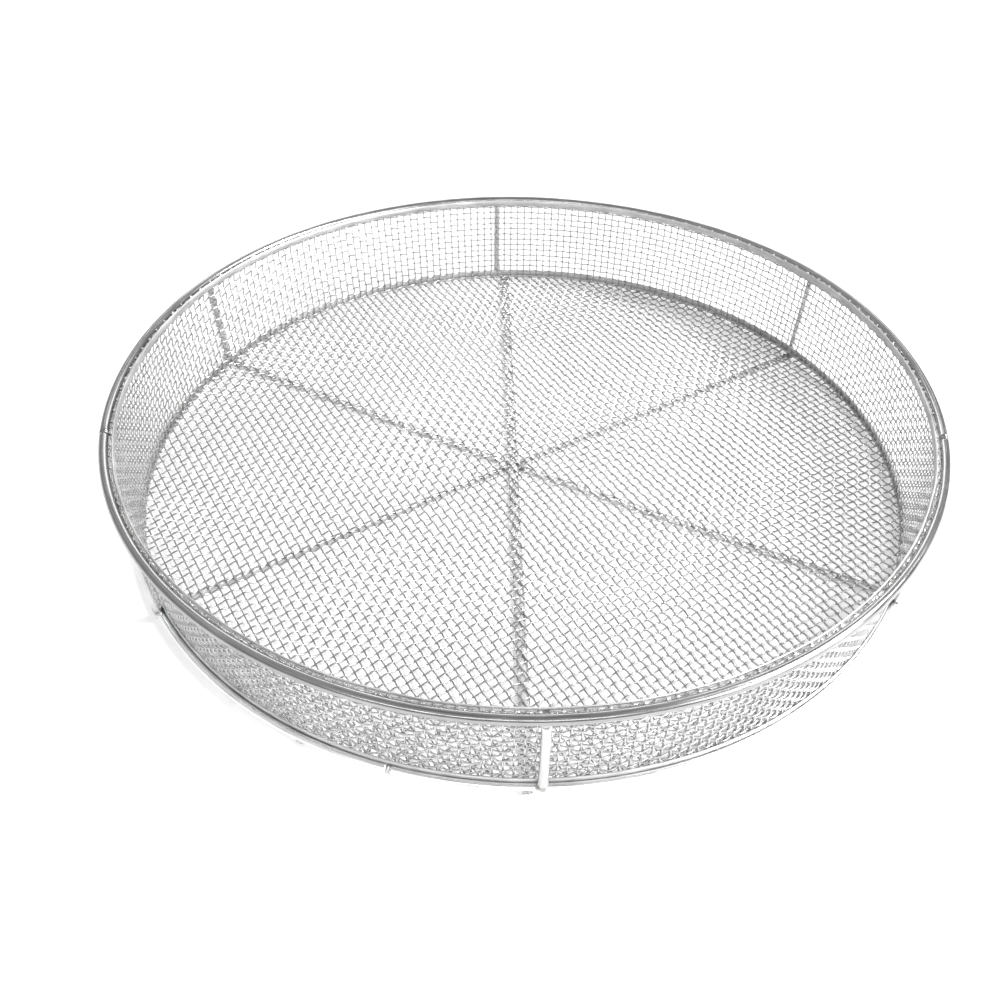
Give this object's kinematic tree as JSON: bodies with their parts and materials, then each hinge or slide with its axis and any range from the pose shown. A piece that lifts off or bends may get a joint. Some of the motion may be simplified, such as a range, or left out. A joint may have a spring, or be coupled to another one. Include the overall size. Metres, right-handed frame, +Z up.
{
  "type": "soil sieve",
  "caption": "Round shallow hand sieve of woven stainless wire, with a rim wire, a base ring, upright posts and flat spokes under the floor mesh.",
  "frame": {"origin": "on the ground under the centre of the rim", "axes": "+Z up out of the basin's open top; -Y towards the front, where the through bar's flared end shows; +X to the right"},
  "size_m": [0.3994, 0.3994, 0.0551],
  "materials": {
    "rim_wire": "satin, drawn wire",
    "ring_wire": "satin, drawn wire",
    "post": "satin, drawn wire",
    "spoke": "dull rolled flat bar",
    "strip": "satin rolled strip",
    "mesh": "satin woven wire",
    "weld": "bright lumpy weld metal"
  },
  "bodies": {
    "root": {"rim_wire_front": "rim_wire", "rim_wire_back": "rim_wire", "base_ring": "ring_wire", "rim_strip": "strip", "hem_strip": "strip", "spoke_through_bar": "spoke", "spoke_arm_right_front": "spoke", "spoke_arm_right_back": "spoke", "spoke_arm_left_back": "spoke", "spoke_arm_left_front": "spoke", "post_front": "post", "post_right_front": "post", "post_right_back": "post", "post_back": "post", "post_left_back": "post", "post_left_front": "post", "floor_mesh_warp": "mesh", "floor_mesh_weft": "mesh", "wall_mesh_uprights": "mesh", "wall_mesh_hoops": "mesh", "rim_joint_welds": "weld", "base_ring_weld": "weld", "post_foot_welds": "weld", "post_head_welds": "weld", "spoke_end_welds": "weld", "ring_tack_welds": "weld", "hub_weld": "weld"}
  },
  "joints": []
}
